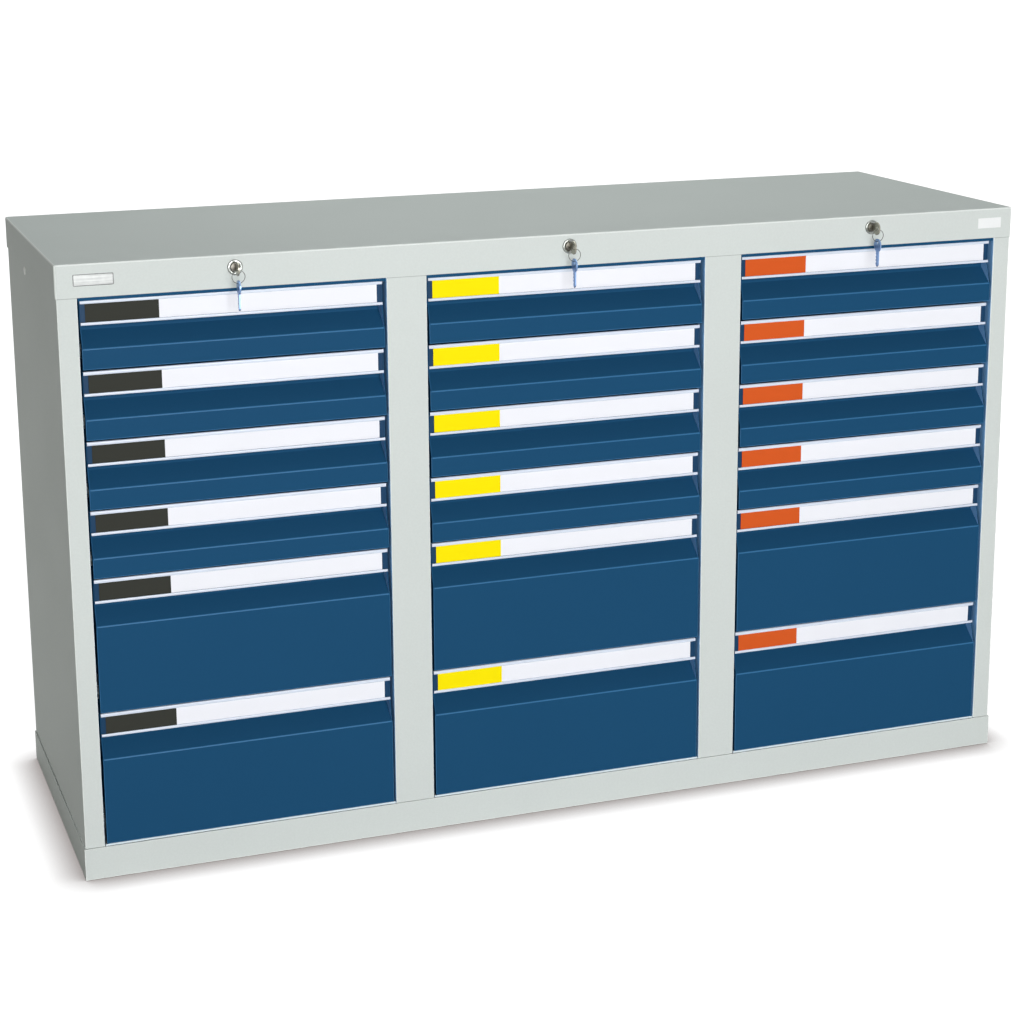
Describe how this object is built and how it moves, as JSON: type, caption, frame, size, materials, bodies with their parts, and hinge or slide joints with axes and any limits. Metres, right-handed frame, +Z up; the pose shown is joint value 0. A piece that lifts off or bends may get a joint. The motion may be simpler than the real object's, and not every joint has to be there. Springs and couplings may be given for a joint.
{
  "type": "workshop drawer cabinet",
  "caption": "Free-standing steel drawer cabinet with a folded cap, columns of shallow and deep roller drawers, full-width pulls under clear label rails, and a keyed lock bar per column.",
  "frame": {"origin": "middle of the foot of the cabinet's box, which reaches from the hanging keys in front to the back edge of the cap", "axes": "+X to the right seen from the front, +Y from the front into the cabinet, +Z up"},
  "size_m": [1.5, 0.5304, 0.9],
  "materials": {
    "housing_paint": "fine-texture powder coat, light grey",
    "drawer_paint": "fine-texture powder coat, dark blue",
    "label_rail": "extruded, clear, with faintly blue cut edges",
    "lock_body": "polished nickel",
    "key_steel": "nickel-plated, lightly worn",
    "bar_steel": "zinc-plated"
  },
  "bodies": {
    "housing": {"top_cap": "housing_paint", "side_panel_left": "housing_paint", "side_panel_right": "housing_paint", "divider_1": "housing_paint", "divider_2": "housing_paint", "back_panel": "housing_paint", "floor_panel": "housing_paint", "base_plinth": "housing_paint", "lock_cylinder_1": "lock_body", "lock_cylinder_2": "lock_body", "lock_cylinder_3": "lock_body"},
    "drawer_1_1": {"drawer_1_1": "drawer_paint", "label_rail_1_1": "label_rail"},
    "drawer_1_2": {"drawer_1_2": "drawer_paint", "label_rail_1_2": "label_rail"},
    "drawer_1_3": {"drawer_1_3": "drawer_paint", "label_rail_1_3": "label_rail"},
    "drawer_1_4": {"drawer_1_4": "drawer_paint", "label_rail_1_4": "label_rail"},
    "drawer_1_5": {"drawer_1_5": "drawer_paint", "label_rail_1_5": "label_rail"},
    "drawer_1_6": {"drawer_1_6": "drawer_paint", "label_rail_1_6": "label_rail"},
    "key_1": {"lock_key_1": "key_steel"},
    "ring_1": {"key_ring_1": "key_steel"},
    "spare_1": {"spare_key_1": "key_steel"},
    "lock_bar_1": {"lock_bar_1": "bar_steel"},
    "drawer_2_1": {"drawer_2_1": "drawer_paint", "label_rail_2_1": "label_rail"},
    "drawer_2_2": {"drawer_2_2": "drawer_paint", "label_rail_2_2": "label_rail"},
    "drawer_2_3": {"drawer_2_3": "drawer_paint", "label_rail_2_3": "label_rail"},
    "drawer_2_4": {"drawer_2_4": "drawer_paint", "label_rail_2_4": "label_rail"},
    "drawer_2_5": {"drawer_2_5": "drawer_paint", "label_rail_2_5": "label_rail"},
    "drawer_2_6": {"drawer_2_6": "drawer_paint", "label_rail_2_6": "label_rail"},
    "key_2": {"lock_key_2": "key_steel"},
    "ring_2": {"key_ring_2": "key_steel"},
    "spare_2": {"spare_key_2": "key_steel"},
    "lock_bar_2": {"lock_bar_2": "bar_steel"},
    "drawer_3_1": {"drawer_3_1": "drawer_paint", "label_rail_3_1": "label_rail"},
    "drawer_3_2": {"drawer_3_2": "drawer_paint", "label_rail_3_2": "label_rail"},
    "drawer_3_3": {"drawer_3_3": "drawer_paint", "label_rail_3_3": "label_rail"},
    "drawer_3_4": {"drawer_3_4": "drawer_paint", "label_rail_3_4": "label_rail"},
    "drawer_3_5": {"drawer_3_5": "drawer_paint", "label_rail_3_5": "label_rail"},
    "drawer_3_6": {"drawer_3_6": "drawer_paint", "label_rail_3_6": "label_rail"},
    "key_3": {"lock_key_3": "key_steel"},
    "ring_3": {"key_ring_3": "key_steel"},
    "spare_3": {"spare_key_3": "key_steel"},
    "lock_bar_3": {"lock_bar_3": "bar_steel"}
  },
  "joints": [
    {"name": "drawer_slide_1_1", "type": "slide", "parent": "housing", "child": "drawer_1_1", "axis": [0, -1, 0], "range_m": [0, 0.36]},
    {"name": "drawer_slide_1_2", "type": "slide", "parent": "housing", "child": "drawer_1_2", "axis": [0, -1, 0], "range_m": [0, 0.36]},
    {"name": "drawer_slide_1_3", "type": "slide", "parent": "housing", "child": "drawer_1_3", "axis": [0, -1, 0], "range_m": [0, 0.36]},
    {"name": "drawer_slide_1_4", "type": "slide", "parent": "housing", "child": "drawer_1_4", "axis": [0, -1, 0], "range_m": [0, 0.36]},
    {"name": "drawer_slide_1_5", "type": "slide", "parent": "housing", "child": "drawer_1_5", "axis": [0, -1, 0], "range_m": [0, 0.36]},
    {"name": "drawer_slide_1_6", "type": "slide", "parent": "housing", "child": "drawer_1_6", "axis": [0, -1, 0], "range_m": [0, 0.36]},
    {"name": "bar_lift_1", "type": "slide", "parent": "housing", "child": "lock_bar_1", "axis": [0, 0, 1], "range_m": [0, 0.0084]},
    {"name": "key_turn_1", "type": "hinge", "parent": "housing", "child": "key_1", "pos_m": [-0.5, -0.23475, 0.882], "axis": [0, 1, 0], "range_deg": [0, 90]},
    {"name": "ring_swing_1", "type": "hinge", "parent": "key_1", "child": "ring_1", "pos_m": [-0.5, -0.25525, 0.8808], "axis": [-1, 0, 0], "range_deg": [-8, 70]},
    {"name": "spare_swing_1", "type": "hinge", "parent": "ring_1", "child": "spare_1", "pos_m": [-0.5, -0.25525, 0.8624], "axis": [-1, 0, 0], "range_deg": [-10, 60]},
    {"name": "drawer_slide_2_1", "type": "slide", "parent": "housing", "child": "drawer_2_1", "axis": [0, -1, 0], "range_m": [0, 0.36]},
    {"name": "drawer_slide_2_2", "type": "slide", "parent": "housing", "child": "drawer_2_2", "axis": [0, -1, 0], "range_m": [0, 0.36]},
    {"name": "drawer_slide_2_3", "type": "slide", "parent": "housing", "child": "drawer_2_3", "axis": [0, -1, 0], "range_m": [0, 0.36]},
    {"name": "drawer_slide_2_4", "type": "slide", "parent": "housing", "child": "drawer_2_4", "axis": [0, -1, 0], "range_m": [0, 0.36]},
    {"name": "drawer_slide_2_5", "type": "slide", "parent": "housing", "child": "drawer_2_5", "axis": [0, -1, 0], "range_m": [0, 0.36]},
    {"name": "drawer_slide_2_6", "type": "slide", "parent": "housing", "child": "drawer_2_6", "axis": [0, -1, 0], "range_m": [0, 0.36]},
    {"name": "bar_lift_2", "type": "slide", "parent": "housing", "child": "lock_bar_2", "axis": [0, 0, 1], "range_m": [0, 0.0084]},
    {"name": "key_turn_2", "type": "hinge", "parent": "housing", "child": "key_2", "pos_m": [0, -0.23475, 0.882], "axis": [0, 1, 0], "range_deg": [0, 90]},
    {"name": "ring_swing_2", "type": "hinge", "parent": "key_2", "child": "ring_2", "pos_m": [0, -0.25525, 0.8808], "axis": [-1, 0, 0], "range_deg": [-8, 70]},
    {"name": "spare_swing_2", "type": "hinge", "parent": "ring_2", "child": "spare_2", "pos_m": [0, -0.25525, 0.8624], "axis": [-1, 0, 0], "range_deg": [-10, 60]},
    {"name": "drawer_slide_3_1", "type": "slide", "parent": "housing", "child": "drawer_3_1", "axis": [0, -1, 0], "range_m": [0, 0.36]},
    {"name": "drawer_slide_3_2", "type": "slide", "parent": "housing", "child": "drawer_3_2", "axis": [0, -1, 0], "range_m": [0, 0.36]},
    {"name": "drawer_slide_3_3", "type": "slide", "parent": "housing", "child": "drawer_3_3", "axis": [0, -1, 0], "range_m": [0, 0.36]},
    {"name": "drawer_slide_3_4", "type": "slide", "parent": "housing", "child": "drawer_3_4", "axis": [0, -1, 0], "range_m": [0, 0.36]},
    {"name": "drawer_slide_3_5", "type": "slide", "parent": "housing", "child": "drawer_3_5", "axis": [0, -1, 0], "range_m": [0, 0.36]},
    {"name": "drawer_slide_3_6", "type": "slide", "parent": "housing", "child": "drawer_3_6", "axis": [0, -1, 0], "range_m": [0, 0.36]},
    {"name": "bar_lift_3", "type": "slide", "parent": "housing", "child": "lock_bar_3", "axis": [0, 0, 1], "range_m": [0, 0.0084]},
    {"name": "key_turn_3", "type": "hinge", "parent": "housing", "child": "key_3", "pos_m": [0.5, -0.23475, 0.882], "axis": [0, 1, 0], "range_deg": [0, 90]},
    {"name": "ring_swing_3", "type": "hinge", "parent": "key_3", "child": "ring_3", "pos_m": [0.5, -0.25525, 0.8808], "axis": [-1, 0, 0], "range_deg": [-8, 70]},
    {"name": "spare_swing_3", "type": "hinge", "parent": "ring_3", "child": "spare_3", "pos_m": [0.5, -0.25525, 0.8624], "axis": [-1, 0, 0], "range_deg": [-10, 60]}
  ],
  "couplings": [
    {"joint": "key_turn_1", "follows": "bar_lift_1", "rad_per_m": 186.9},
    {"joint": "key_turn_2", "follows": "bar_lift_2", "rad_per_m": 186.9},
    {"joint": "key_turn_3", "follows": "bar_lift_3", "rad_per_m": 186.9}
  ]
}
